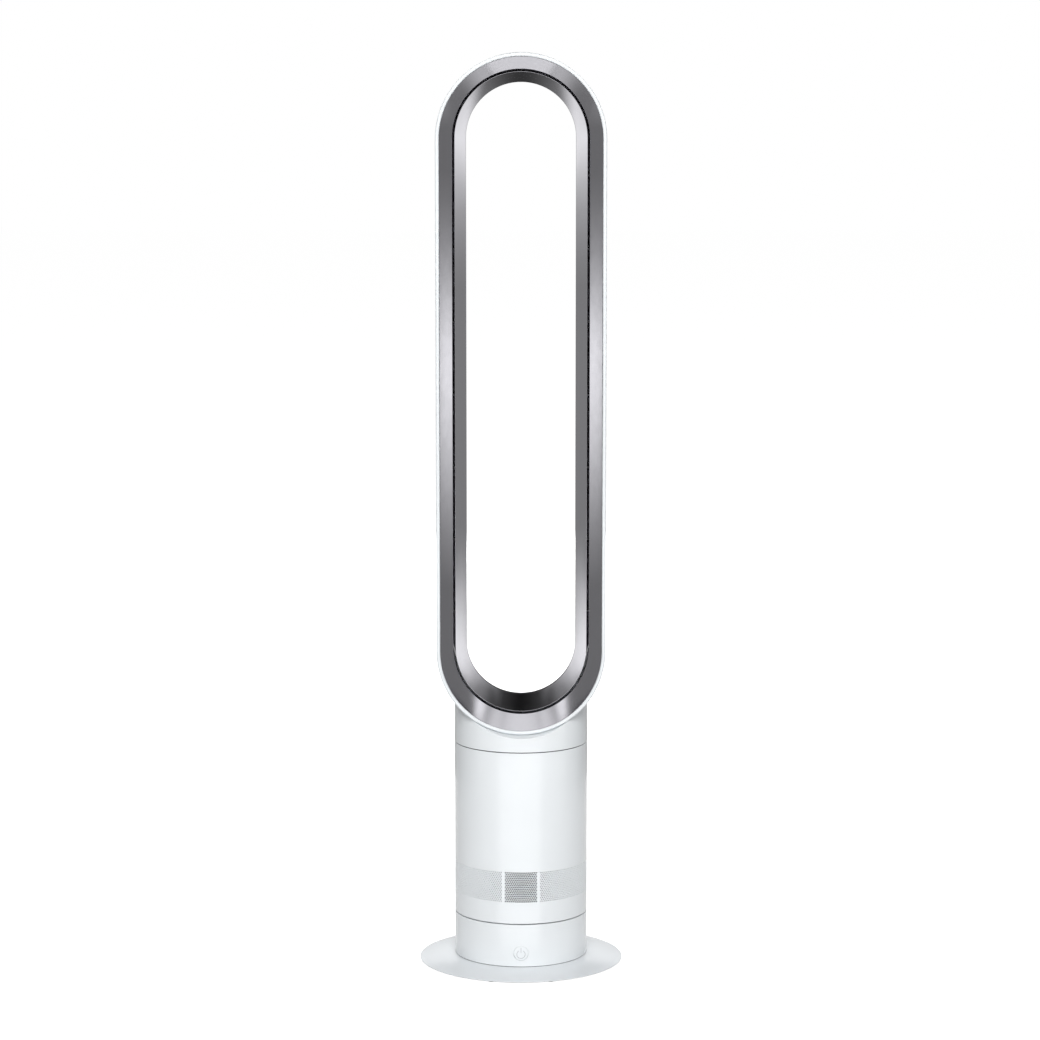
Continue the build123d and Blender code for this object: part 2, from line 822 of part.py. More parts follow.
def casing_foam():
    """Foam sleeve inside the casing, round the housing."""
    high = support_bottom - ledge_height - 0.5
    return ring(body_inner - 0.3, housing_outer + 1.6, high - casing_foam_length, high)


def twisted_blade(inner, outer, low, height, twist, thickness):
    """Upright blade whose radial sections turn with height."""
    steps = 3
    sections = []
    for i in range(steps + 1):
        place = Pos(0, 0, low + height * i / steps) * Rot(0, 0, twist * i / steps)
        sections.append(place * Pos((inner + outer) / 2, 0) * Rectangle(outer - inner, thickness))
    return loft(sections, ruled=True)


def impeller():
    """Mixed-flow impeller: a hollow cone with blades that end just inside the housing."""
    low, high = impeller_bottom, impeller_top
    boss_top = high - 4
    hub = turned([Polyline(
        (rotor_bore, low),
        (impeller_hub_low, low),
        (impeller_hub_high, high),
        (impeller_hub_high - impeller_hub_wall, high),
        (impeller_hub_low, low + 5),
        (impeller_boss_radius, low + 5),
        (impeller_boss_radius, boss_top),
        (rotor_bore, boss_top),
        close=True,
    )])
    swept = turned([Polyline(
        (impeller_hub_low - 1, low),
        (housing_inside(low) - impeller_tip_gap, low),
        (housing_inside(high) - impeller_tip_gap, high),
        (impeller_hub_high - 1, high),
        close=True,
    )])
    blade = twisted_blade(
        impeller_hub_low - 4, housing_radius, low, impeller_height, impeller_twist, blade_thickness
    )
    return hub + round_axis(blade & swept, impeller_blades)


def rotor_shaft():
    high = upper_bearing_bottom + bearing_height
    return ring(rotor_shaft_radius, 0, impeller_bottom + 1, high)


def motor_middle():
    """Height of the middle of the motor's magnet and stator."""
    return (bucket_floor + bearing_height + bucket_top) / 2


def rotor_magnet():
    half = stator_height / 2
    return ring(magnet_radius, rotor_bore, motor_middle() - half, motor_middle() + half)


def motor_stator():
    half = stator_height / 2
    outer = bucket_radius - bucket_wall - fit_clearance
    return ring(outer, magnet_radius + magnet_gap, motor_middle() - half, motor_middle() + half)


def motor_bucket():
    """Cup that holds the motor, with a boss for the lower bearing."""
    boss_outer = bearing_radius + bearing_boss_wall
    wall = ring(bucket_radius, bucket_radius - bucket_wall, bucket_bottom, bucket_top)
    floor = ring(bucket_radius - 1, rotor_shaft_radius + 2, bucket_bottom, bucket_floor)
    boss = ring(boss_outer, bearing_radius + 0.02, bucket_floor - 0.5, bucket_floor + bearing_height)
    return wall + [floor, boss - ring(bearing_radius + 1, 0, 0, bucket_floor)]


def motor_cap():
    """Domed cap over the motor, with a hanging boss for the upper bearing."""
    centre = (0, bucket_top)
    inner_radius, inner_height = bucket_radius - bucket_wall, cap_height - bucket_wall
    seat_radius, boss_outer = bearing_radius + 0.02, bearing_radius + bearing_boss_wall
    boss_angle = math.degrees(math.acos(boss_outer / inner_radius))
    flat_angle = math.degrees(math.acos(cap_flat_radius / bucket_radius))
    outer = elliptical_arc(centre, bucket_radius, cap_height, 0, flat_angle)
    inner = elliptical_arc(centre, inner_radius, inner_height, 0, boss_angle)
    seat_top = upper_bearing_bottom + bearing_height + 0.5
    boss = Polyline(
        inner @ 1,
        (boss_outer, upper_bearing_bottom),
        (seat_radius, upper_bearing_bottom),
        (seat_radius, seat_top),
        (0, seat_top),
        (0, (outer @ 1).Y),
        outer @ 1,
    )
    return turned([outer, inner, Line(outer @ 0, inner @ 0), boss])


def motor_bearings():
    outer, inner = bearing_radius, rotor_shaft_radius + running_clearance
    lower = ring(outer, inner, bucket_floor, bucket_floor + bearing_height)
    upper = ring(outer, inner, upper_bearing_bottom, upper_bearing_bottom + bearing_height)
    return Compound(children=[lower, upper])


def diffuser_vanes():
    """Fixed vanes between the motor bucket and the housing, which straighten the air."""
    inner = bucket_radius + fit_clearance
    low = housing_shoulder + 0.5
    sleeve = ring(inner + vane_ring_wall, inner, low, low + vane_height)
    vane = twisted_blade(
        inner + 0.3, housing_radius - 0.5, low, vane_height, vane_twist, blade_thickness
    )
    return sleeve + round_axis(vane, vane_count)


# ---------------------------------------------------------------- write one file per piece
pieces = [
    base_disc,
    base_underplate,
    base_screws,
    base_feet,
    base_shell,
    glide_ring,
    cord_gland,
    control_board,
    tact_switch,
    switch_plunger,
    ir_receiver,
    power_button,
    oscillation_motor,
    motor_screws,
    pinion_shaft,
    drive_pinion,
    turntable,
    spindle_gear,
    spindle_screws,
    drive_board,
    board_capacitors,
    electronics_cover,
    inlet_foam,
    body_casing,
    display_panel,
    display_board,
    inlet_bellmouth,
    impeller_housing,
    support_ring,
    isolation_mounts,
    casing_foam,
    impeller,
    rotor_shaft,
    rotor_magnet,
    motor_stator,
    motor_bucket,
    motor_cap,
    motor_bearings,
    diffuser_vanes,
    duct_gasket,
    neck_duct,
    collar,
    loop_casing,
    loop_inner_wall,
    loop_diffuser,
    slot_spacers,
]

os.makedirs("parts", exist_ok=True)
for make in pieces:
    export_step(make(), f"parts/{make.__name__}.step")
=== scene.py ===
import json
import math

import bmesh
import bpy
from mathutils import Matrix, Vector


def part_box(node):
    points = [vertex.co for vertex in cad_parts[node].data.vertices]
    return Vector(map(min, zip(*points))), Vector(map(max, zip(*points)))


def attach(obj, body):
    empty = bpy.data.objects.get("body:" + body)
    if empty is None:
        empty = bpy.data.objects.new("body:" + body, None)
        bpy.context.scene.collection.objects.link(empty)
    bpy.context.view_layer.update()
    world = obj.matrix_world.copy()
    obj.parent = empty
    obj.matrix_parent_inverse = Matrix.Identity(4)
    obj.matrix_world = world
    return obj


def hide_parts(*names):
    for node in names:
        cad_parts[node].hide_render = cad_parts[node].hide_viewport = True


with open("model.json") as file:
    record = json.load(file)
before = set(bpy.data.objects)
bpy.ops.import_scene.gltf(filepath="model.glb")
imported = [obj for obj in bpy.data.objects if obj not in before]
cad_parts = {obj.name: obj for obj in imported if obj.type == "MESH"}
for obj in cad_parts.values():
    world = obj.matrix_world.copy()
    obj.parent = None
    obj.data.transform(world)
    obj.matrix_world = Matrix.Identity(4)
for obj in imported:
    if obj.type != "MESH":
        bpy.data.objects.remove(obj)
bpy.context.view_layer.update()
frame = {"nodes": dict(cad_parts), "record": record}

MM = 0.001
TURN = 2 * math.pi

# ---------------------------------------------------------------- places read from the frame
casing_low, casing_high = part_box("loop_casing")
collar_low, collar_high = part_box("collar")
body_low, body_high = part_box("body_casing")
panel_low, panel_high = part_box("display_panel")
foot_low, foot_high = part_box("base_disc")
button_low, button_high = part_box("power_button")

loop_radius = casing_high.x
loop_front, loop_rear = casing_low.y, casing_high.y
bend_low = casing_low.z + loop_radius
bend_high = casing_high.z - loop_radius
body_radius = collar_high.x
foot_radius = foot_high.x
inlet_low, inlet_high = panel_low.z, panel_high.z
support_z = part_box("support_ring")[0].z
button_z = (button_low.z + button_high.z) / 2
button_flange_radius = (button_high.z - button_low.z) / 2

# ---------------------------------------------------------------- sizes of the loop's skins
rim_width = 4.1 * MM
rim_depth = 9.0 * MM
casing_wall = 2.2 * MM
casing_nose = 25.0 * MM
nose_inset = 16.0 * MM
throat_inset = 32.2 * MM
throat_setback = 36.0 * MM
throat_bend = 11.0 * MM
slot_inset = 19.0 * MM
slot_gap = 1.6 * MM
slot_depth = 33.0 * MM
lip_thickness = 0.8 * MM
lip_edge = 0.25 * MM
lip_softness = 0.1 * MM
loop_wall = 1.8 * MM
curl_radius = 5.0 * MM
band_setback = 1.8 * MM
band_softness = 0.25 * MM
seam = 0.2 * MM
edge_softness = 0.35 * MM

# ---------------------------------------------------------------- sizes of the collar and body
wall = 2.4 * MM
body_inner = body_radius - wall
saddle_gap = 0.3 * MM
passage_half_width = 48.2 * MM
passage_half_depth = 30.2 * MM
passage_corner = 0.96 * passage_half_depth
passage_y = -8.0 * MM
seat_thickness = 2.0 * MM
seat_width = 5.0 * MM
collar_gap = 1.0 * MM
spigot_clearance = 0.15 * MM
spigot_wall = 2.2 * MM
spigot_root = 8.0 * MM
spigot_softness = 0.1 * MM
ledge_width = 2.2 * MM
ledge_height = 3.0 * MM
lower_ledge_rise = 9.0 * MM
inlet_margin = 1.2 * MM

# ---------------------------------------------------------------- the air inlet's fine holes
hole_rows = 17
half_columns = 400
row_pitch = (inlet_high - inlet_low) / hole_rows
window_hole = 1.05 * MM  # across a corner, in front of the dark window
side_hole = 0.76 * MM
window_edge = 13.6  # degrees from the front
strip_edge = 17.0

# ---------------------------------------------------------------- sizes of the foot and button
foot_floor = 8.4 * MM
foot_edge_top = foot_low.z + 1.4 * MM
foot_edge_radius = 0.5 * MM
foot_undercut = 1.4 * MM
foot_bulge = 0.9 * MM
foot_wall = 2.2 * MM
foot_ring_width = 16.0 * MM
foot_recess = 1.5 * MM
foot_seat_margin = 1.0 * MM
foot_softness = 0.2 * MM
spindle_bore = 15.0 * MM
# width of the dark rings of painted shade in the seams
painted_shade_ring_width = 0.5 * MM
button_flange = 1.5 * MM
button_radius = button_flange_radius - button_flange
button_softness = 0.3 * MM
button_stem_radius = 3.0 * MM
button_middle = 0.4 * MM
mark_lift = 0.12 * MM
mark_half_width = 0.2 * MM
mark_radius = 4.6 * MM
mark_drop = 1.1 * MM
bar_low = 1.6 * MM
bar_length = 5.6 * MM


# ================================================================ mesh helpers
def oval(centre, x_radius, y_radius, start, end, steps):
    """Points of an elliptical arc, from start to end in degrees."""
    points = []
    for i in range(steps + 1):
        angle = math.radians(start + (end - start) * i / steps)
        x, y = x_radius * math.cos(angle), y_radius * math.sin(angle)
        points.append((centre[0] + x, centre[1] + y))
    return points


def touch_angle(point, centre, x_radius, y_radius):
    """Where the line from a point touches the oval on the side of the opening, in degrees."""
    across = (point[0] - centre[0]) / x_radius
    along = (point[1] - centre[1]) / y_radius
    angle = math.degrees(math.atan2(along, across) - math.acos(1 / math.hypot(across, along)))
    return angle % 360


def rounded_corners(points, radius, smooth_turn=24):
    """The points with each corner that turns by more than smooth_turn degrees made a curve."""
    rounded = []
    for i, corner in enumerate(points):
        back = points[i - 1] - corner
        ahead = points[(i + 1) % len(points)] - corner
        if back.length < 1e-7:
            continue
        if ahead.length < 1e-7:
            ahead = points[(i + 2) % len(points)] - corner
        if back.angle(-ahead) < math.radians(smooth_turn):
            rounded.append(corner)
            continue
        reach = min(radius, 0.3 * back.length, 0.3 * ahead.length)
        start = corner + back.normalized() * reach
        end = corner + ahead.normalized() * reach
        for t in (0.0, 0.25, 0.5, 0.75, 1.0):
            rounded.append((1 - t) ** 2 * start + 2 * t * (1 - t) * corner + t * t * end)
    return rounded


def softened(outline, radius=edge_softness, long_run=1.5 * MM, hold=0.3 * MM):
    """The closed outline with soft corners, and points that hold its long runs straight."""
    rounded = rounded_corners([Vector(p) for p in outline], radius)
    held = []
    for i, start in enumerate(rounded):
        held.append(tuple(start))
        run = rounded[(i + 1) % len(rounded)] - start
        if run.length > long_run:
            step = run.normalized() * hold
            held.append(tuple(start + step))
            held.append(tuple(start + run - step))
    return held


def soft_corner(radius, z, soft):
    """Points (radius, z) from a wall round to a flat at z, for a wall above it if soft > 0."""
    inward = abs(soft)
    points = [(radius, z + 2 * soft), (radius, z + soft)]
    return points + [(radius - 0.3 * inward, z + 0.3 * soft), (radius - inward, z)]


def skin(rings, close_rings=True, close_outline=True):
    """Vertices and quads between consecutive rings of points, each ring as long as the next."""
    width = len(rings[0])
    vertices = [point for ring in rings for point in ring]
    ring_count = len(rings)
    faces = []
    for i in range(ring_count if close_rings else ring_count - 1):
        a, b = i * width, (i + 1) % ring_count * width
        for j in range(width if close_outline else width - 1):
            k = (j + 1) % width
            faces.append((a + j, a + k, b + k, b + j))
    return vertices, faces


def round_the_loop(outline, steps=88):
    """The closed outline of (radius, y) swept round the long loop."""
    rings = []
    for centre, first in ((bend_high, 0), (bend_low, 180)):
        for i in range(steps + 1):
            angle = math.radians(first + 180 * i / steps)
            across, up = math.cos(angle), math.sin(angle)
            rings.append([(r * across, y, centre + r * up) for r, y in outline])
    return skin(rings)


def turned(outline, steps=240):
    """The closed outline of (radius, z) turned about the vertical axis."""
    rings = []
    for i in range(steps):
        angle = TURN * i / steps
        rings.append([(r * math.cos(angle), r * math.sin(angle), z) for r, z in outline])
    return skin(rings)


def add_object(name, data):
    """A new object of the scene."""
    made = bpy.data.objects.new(name, data)
    bpy.context.scene.collection.objects.link(made)
    return made


def piece(name, vertices, faces, body, finish, replaced=None, sharp=38):
    """A closed, smooth-shaded mesh that rides on a body and wears a slot's finish."""
    mesh = bpy.data.meshes.new(name)
    mesh.from_pydata(vertices, [], faces)
    shape = bmesh.new()
    shape.from_mesh(mesh)
    bmesh.ops.remove_doubles(shape, verts=shape.verts, dist=1e-7)
    bmesh.ops.recalc_face_normals(shape, faces=shape.faces)
    shape.to_mesh(mesh)
    shape.free()
    mesh.polygons.foreach_set("use_smooth", [True] * len(mesh.polygons))
    mesh.set_sharp_from_angle(angle=math.radians(sharp))
    mesh.materials.append(finishes[finish])
    made = add_object(name, mesh)
    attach(made, body)
    if replaced is not None:
        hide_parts(replaced)


# ================================================================ finishes
class Finish:
    """Builds one procedural material: tone, gloss and fine relief from noise in object space."""

    def __init__(self, name):
        self.material = bpy.data.materials.new(name)
        self.material.use_nodes = True
        self.tree = self.material.node_tree
        self.shader = self.tree.nodes["Principled BSDF"]
        self.place = self.tree.nodes.new("ShaderNodeTexCoord")

    def set(self, **values):
        for key, value in values.items():
            self.shader.inputs[key.replace("_", " ")].default_value = value

    def noise(self, scale, detail=3.0, stretch=(1, 1, 1)):
        """Noise with that many bumps to the metre, stretched along the axes."""
        mapping = self.tree.nodes.new("ShaderNodeMapping")
        mapping.inputs["Scale"].default_value = stretch
        noise = self.tree.nodes.new("ShaderNodeTexNoise")
        noise.inputs["Scale"].default_value = scale
        noise.inputs["Detail"].default_value = detail
        self.tree.links.new(self.place.outputs["Object"], mapping.inputs["Vector"])
        self.tree.links.new(mapping.outputs["Vector"], noise.inputs["Vector"])
        return noise.outputs["Fac"]

    def cells(self, scale):
        """Small cells with a random level each."""
        cells = self.tree.nodes.new("ShaderNodeTexVoronoi")
        cells.inputs["Scale"].default_value = scale
        self.tree.links.new(self.place.outputs["Object"], cells.inputs["Vector"])
        grey = self.tree.nodes.new("ShaderNodeRGBToBW")
        self.tree.links.new(cells.outputs["Color"], grey.inputs["Color"])
        return grey.outputs["Val"]

    def spread(self, source, low, high, start=0.3, end=0.7):
        """The source mapped from start..end to low..high."""
        spread = self.tree.nodes.new("ShaderNodeMapRange")
        spread.inputs["From Min"].default_value = start
        spread.inputs["From Max"].default_value = end
        spread.inputs["To Min"].default_value = low
        spread.inputs["To Max"].default_value = high
        self.tree.links.new(source, spread.inputs["Value"])
        return spread.outputs["Result"]

    def tone(self, source, dark, light):
        """Base colour between two tones by the source."""
        mix = self.tree.nodes.new("ShaderNodeMix")
        mix.data_type = "RGBA"
        mix.inputs["A"].default_value = (*dark, 1)
        mix.inputs["B"].default_value = (*light, 1)
        self.tree.links.new(self.spread(source, 0, 1), mix.inputs["Factor"])
        self.tree.links.new(mix.outputs["Result"], self.shader.inputs["Base Color"])

    def gloss(self, source, low, high):
        """Roughness between two levels by the source."""
        self.tree.links.new(self.spread(source, low, high), self.shader.inputs["Roughness"])

    def relief(self, source, depth, strength=1.0, under=None):
        """Bump of that depth in metres, over an earlier one if given."""
        bump = self.tree.nodes.new("ShaderNodeBump")
        bump.inputs["Strength"].default_value = strength
        bump.inputs["Distance"].default_value = depth
        self.tree.links.new(source, bump.inputs["Height"])
        if under is not None:
            self.tree.links.new(under, bump.inputs["Normal"])
        self.tree.links.new(bump.outputs["Normal"], self.shader.inputs["Normal"])
        return bump.outputs["Normal"]


def tint(colour, factor):
    return tuple(min(1.0, channel * factor) for channel in colour)


def moulded(name, colour, low, high, spread=0.03, wave=0.02 * MM, grain=0.0):
    """Moulded plastic: slight tone drift, uneven gloss, long waves and, if wanted, a fine grain."""
    finish = Finish(name)
    finish.set(IOR=1.49)
    finish.tone(finish.noise(14, 2), tint(colour, 1 - spread), tint(colour, 1 + spread))
    finish.gloss(finish.noise(55, 4), low, high)
    under = finish.relief(finish.noise(38, 1), wave, 0.6)
    if grain:
        finish.relief(finish.noise(2600, 2), grain, 0.7, under)
    return finish.material


def silver_paint():
    """Silver paint on plastic: fine metal flakes under a smooth clear coat."""
    finish = Finish("silver_paint")
    finish.set(Metallic=1.0, Coat_Weight=0.25, Coat_Roughness=0.08, Coat_IOR=1.5)
    flakes = finish.cells(3800)
    finish.tone(flakes, (0.582, 0.575, 0.614), (0.673, 0.665, 0.708))
    finish.gloss(finish.noise(90, 3), 0.08, 0.11)
    finish.relief(flakes, 0.004 * MM, 0.35)
    return finish.material


def foam():
    """Open-cell foam: dark pores between soft struts."""
    finish = Finish("foam")
    cells = finish.cells(900)
    finish.tone(cells, (0.07, 0.07, 0.075), (0.2, 0.2, 0.21))
    finish.set(Roughness=0.95)
    finish.relief(cells, 0.6 * MM, 0.9)
    return finish.material


def metal(name, colour, low, high, stretch=(1, 1, 1)):
    """Bare metal with fine turned or drawn lines."""
    finish = Finish(name)
    finish.set(Metallic=1.0)
    lines = finish.noise(700, 3, stretch)
    finish.tone(lines, tint(colour, 0.88), tint(colour, 1.1))
    finish.gloss(finish.noise(120, 3), low, high)
    finish.relief(lines, 0.01 * MM, 0.5)
    return finish.material


def rubber():
    """Matt dark rubber with a dusty bloom."""
    finish = Finish("rubber")
    finish.tone(finish.noise(60, 4), (0.035, 0.035, 0.037), (0.06, 0.06, 0.062))
    finish.gloss(finish.noise(160, 3), 0.7, 0.9)
    finish.relief(finish.noise(1400, 3), 0.04 * MM, 0.6)
    return finish.material


def make_finishes():
    """One material for each slot of the record."""
    black, grey, green = (0.03, 0.03, 0.033), (0.33, 0.34, 0.36), (0.02, 0.14, 0.06)
    wave, grain = 0.03 * MM, 0.02 * MM
    return {
        "white_gloss": moulded("white_gloss", (0.81, 0.84, 0.86), 0.13, 0.19, 0.012),
        "foot_gloss": moulded("foot_gloss", (0.76, 0.79, 0.815), 0.12, 0.18, 0.012),
        "silver_paint": silver_paint(),
        "black_plastic": moulded("black_plastic", black, 0.35, 0.5, 0.1, wave, grain),
        "grey_plastic": moulded("grey_plastic", grey, 0.4, 0.55, 0.06, wave, grain),
        "rubber": rubber(),
        "foam": foam(),
        "steel": metal("steel", (0.6, 0.6, 0.62), 0.22, 0.34, (1, 1, 9)),
        "magnet": metal("magnet", (0.16, 0.16, 0.18), 0.4, 0.55),
        "board": moulded("board", green, 0.3, 0.45, 0.12, wave, 0.01 * MM),
        "capacitor": metal("capacitor", (0.14, 0.16, 0.26), 0.25, 0.4, (1, 1, 6)),
    }


def finish_cad_pieces():
    """Every carried-over piece gets the finish of its slot in the record."""
    for entry in frame["record"]["subparts"]:
        cad_piece = frame["nodes"][entry["node"]]
        for i in range(len(cad_piece.data.materials)):
            cad_piece.data.materials[i] = finishes[entry["material_slot"]]


# ================================================================ the loop
def casing_outline():
    """White casing: round front rim, straight side and long rounded rear edge."""
    bead = rim_width / 2
    nose = nose_inset - seam
    centre = (loop_radius - nose, loop_rear - casing_nose)
    rim_back = loop_front + rim_depth
    points = oval((loop_radius - bead, loop_front + bead), bead, bead, 180, 360, 16)
    points += oval(centre, nose, casing_nose, 0, 90, 26)
    points += oval(centre, nose - casing_wall, casing_nose - casing_wall, 90, 0, 20)
    points += [(loop_radius - casing_wall, rim_back), (loop_radius - rim_width, rim_back)]
    return softened(points)


def inner_wall_outline():
    """Silver inner wall: rear edge, throat, and the straight front down to the slot's lip."""
    nose_r = loop_radius - nose_inset
    throat_y = loop_rear - throat_setback
    centre = (nose_r, throat_y)
    width, length = throat_inset - nose_inset, throat_setback

    def face(inset, lip):
        across, bend = width - inset, throat_bend - inset
        points = oval(centre, across, length - inset, 90, 180, 24)
        points += oval(centre, across, bend, 180, touch_angle(lip, centre, across, bend), 8)[1:]
        return points + [lip]

    lip_r = loop_radius - slot_inset - slot_gap / 2 - lip_thickness
    lip_y = loop_front + slot_depth
    seen = face(0, (lip_r, lip_y))
    duct = face(loop_wall, (lip_r + lip_edge, lip_y))
    return softened(seen + duct[::-1], lip_softness)


def front_band_outline():
    """Silver front band: a flat cone that curls back round the mouth of the slot."""
    slot_r, slot_y = loop_radius - slot_inset, loop_front + slot_depth
    centre = (slot_r + slot_gap / 2 + curl_radius, slot_y + seam)
    back_radius = curl_radius - loop_wall
    edge = (loop_radius - rim_width - seam, loop_front + band_setback)
    run = slot_r - edge[0]
    slope = math.hypot(run, slot_y - edge[1]) / -run
    back_edge = (edge[0], edge[1] + loop_wall * slope)
    touch = touch_angle(edge, centre, curl_radius, curl_radius)
    back_touch = touch_angle(back_edge, centre, back_radius, back_radius)
    points = [edge] + oval(centre, curl_radius, curl_radius, touch, 90, 16)
    points += oval(centre, back_radius, back_radius, 90, back_touch, 12) + [back_edge]
    return softened(points, band_softness)


def make_loop():
    """The three skins of the loop."""
    for name, outline, finish, node in (
        ("white_loop_casing", casing_outline(), "white_gloss", "loop_casing"),
        ("silver_inner_wall", inner_wall_outline(), "silver_paint", "loop_inner_wall"),
        ("silver_front_band", front_band_outline(), "silver_paint", "loop_diffuser"),
    ):
        piece(name, *round_the_loop(outline), "tower", finish, node)


# ================================================================ collar
def saddle_height(x, radius):
    """Height of the loop's round underside at x, for that radius about the lower bend."""
    return bend_low - math.sqrt(radius * radius - x * x)


def passage_reach(angle):
    """Distance from the axis to the edge of the collar's oblong air hole, found by halving."""
    flat_x = passage_half_width - passage_corner
    flat_y = passage_half_depth - passage_corner
    low, high = 0.0, body_inner
    for _ in range(40):
        reach = (low + high) / 2
        x = abs(reach * math.cos(angle))
        y = abs(reach * math.sin(angle) - passage_y)
        outside = math.hypot(max(x - flat_x, 0), max(y - flat_y, 0)) > passage_corner
        low, high = (low, reach) if outside else (reach, high)
    return low


def collar_section(angle, roof_steps=8):
    """Section of the collar at an angle: up outside, over to the air hole, back and down."""
    across, along = math.cos(angle), math.sin(angle)
    hole = passage_reach(angle)
    roof = loop_radius + saddle_gap
    lining = roof + wall

    def at(reach, z):
        return (reach * across, reach * along, z)

    def under_loop(reach, radius):
        return at(reach, saddle_height(reach * across, radius))

    foot = soft_corner(body_radius, collar_low.z, edge_softness)[::-1]
    top = soft_corner(body_radius, saddle_height(body_radius * across, roof), -edge_softness)
    section = [at(*point) for point in foot + top[:-1]]
    section.append(under_loop(body_radius - edge_softness, roof))
    for k in range(1, roof_steps + 1):
        section.append(under_loop(body_radius + (hole - body_radius) * k / roof_steps, roof))
    for k in range(roof_steps, -1, -1):
        section.append(under_loop(body_inner + (hole - body_inner) * k / roof_steps, lining))
    seat_low, seat_high = body_high.z, body_high.z + seat_thickness
    seat_inner = body_inner - seat_width
    section += [at(body_inner, seat_high), at(seat_inner, seat_high), at(seat_inner, seat_low)]
    return section + [at(body_inner, seat_low), at(body_inner, collar_low.z)]


def make_collar(steps=240):
    """White collar, its top cut to the loop's round underside round the air hole."""
    sections = [collar_section(TURN * i / steps) for i in range(steps)]
    piece("white_collar", *skin(sections), "tower", "white_gloss", "collar")


# ================================================================ body with its air inlet
def from_front(column):
    """Degrees from the front, of a half column."""
    angle = 360 * column / half_columns
    return min(angle, 360 - angle)


def is_centre(row, column):
    """Whether a hexagon of the inlet has its middle there."""
    return 0 <= row < hole_rows and column % 2 != row % 2


class BodyShell:
    """The body's outer and inner side on one grid of half columns, with shared vertices."""

    radii = {"outer": body_radius, "inner": body_inner}

    def __init__(self):
        self.vertices, self.faces, self.index = [], [], {}

    def vertex(self, key, radius, column, z, shift=0.0):
        """Number of the vertex of that key, which is made when first asked for."""
        if key not in self.index:
            self.index[key] = len(self.vertices)
            angle = TURN * column / half_columns + shift / radius
            self.vertices.append((radius * math.sin(angle), -radius * math.cos(angle), z))
        return self.index[key]

    def corner(self, side, edge, column):
        """Corner of the hexagons on the edge below row number edge."""
        column %= half_columns
        if edge == 0:
            lift = -1 if is_centre(0, column) else 1
        else:
            lift = 1 if is_centre(edge - 1, column) else -1
        z = inlet_low + row_pitch * edge + lift * row_pitch / 6
        return self.vertex((side, edge, column), self.radii[side], column, z)

    def hole_rim(self, side, row, column, size):
        """The six corners of a hexagon's hole."""
        middle = inlet_low + row_pitch * (row + 0.5)
        rim = []
        for k in range(6):
            turn = math.radians(-90 - 60 * k)
            key = (side, "hole", row, column, k)
            z = middle + size * math.sin(turn)
            rim.append(self.vertex(key, self.radii[side], column, z, size * math.cos(turn)))
        return rim

    def cell(self, row, column):
        """One hexagon: plain in the strips beside the window, else with a hole through it."""
        around = ((row, 0), (row, -1), (row + 1, -1), (row + 1, 0), (row + 1, 1), (row, 1))
        outer = [self.corner("outer", edge, column + step) for edge, step in around]
        inner = [self.corner("inner", edge, column + step) for edge, step in around]
        away = from_front(column)
        if window_edge < away < strip_edge:
            for hexagon in (outer, inner):
                self.faces.append(tuple(hexagon[:4]))
                self.faces.append((*hexagon[3:], hexagon[0]))
            return
        size = window_hole if away < window_edge else side_hole
        front = self.hole_rim("outer", row, column, size)
        back = self.hole_rim("inner", row, column, size)
        for k in range(6):
            n = (k + 1) % 6
            self.faces.append((outer[k], outer[n], front[n], front[k]))
            self.faces.append((inner[k], inner[n], back[n], back[k]))
            self.faces.append((front[k], front[n], back[n], back[k]))

    def plain_wall(self, name, profile, edge):
        """Wall all round, from an edge's outer corners along a profile to its inner ones."""

        def line(column):
            points = [self.corner("outer", edge, column)]
            for k, (radius, z) in enumerate(profile):
                points.append(self.vertex((name, k, column), radius, column, z))
            return points + [self.corner("inner", edge, column)]

        for column in range(half_columns):
            here, there = line(column), line((column + 1) % half_columns)
            for k in range(len(here) - 1):
                self.faces.append((here[k], there[k], there[k + 1], here[k + 1]))


def ledge(top):
    """Inner ledge of the body below a height, from the top down."""
    inner, low = body_inner - ledge_width, top - ledge_height
    return [(body_inner, top), (inner, top), (inner, low), (body_inner, low)]


def wall_above_inlet():
    """Body's wall over the inlet: up outside, over the spigot and down to the upper ledge."""
    shoulder = collar_low.z - collar_gap
    outer = body_inner - spigot_clearance
    inner = outer - spigot_wall
    root = shoulder - spigot_root
    top, soft, fine = body_high.z, edge_softness, spigot_softness
    profile = [(body_radius, inlet_high + inlet_margin)]
    profile += soft_corner(body_radius, shoulder, -soft)
    profile += [(outer + fine / 2, shoulder), (outer, shoulder + fine), (outer, top - soft)]
    profile += [(outer - soft, top), (inner + soft, top), (inner, top - soft)]
    profile += [(inner, root), (body_inner, root)] + ledge(support_z)
    return profile + [(body_inner, inlet_high + inlet_margin)]


def wall_below_inlet():
    """Body's wall under the inlet: down outside, in under its edge and up over the ledge."""
    profile = [(body_radius, inlet_low - inlet_margin)]
    profile += soft_corner(body_radius, body_low.z, edge_softness) + [(body_inner, body_low.z)]
    profile += ledge(body_low.z + lower_ledge_rise + ledge_height)[::-1]
    return profile + [(body_inner, inlet_low - inlet_margin)]


def make_body():
    """Body cylinder: plain skin, a ring of small hexagonal holes, spigot and ledges."""
    shell = BodyShell()
    for row in range(hole_rows):
        for column in range(half_columns):
            if is_centre(row, column):
                shell.cell(row, column)
    shell.plain_wall("above", wall_above_inlet(), hole_rows)
    shell.plain_wall("below", wall_below_inlet(), 0)
    mesh = (shell.vertices, shell.faces)
    piece("perforated_body", *mesh, "tower", "white_gloss", "body_casing")


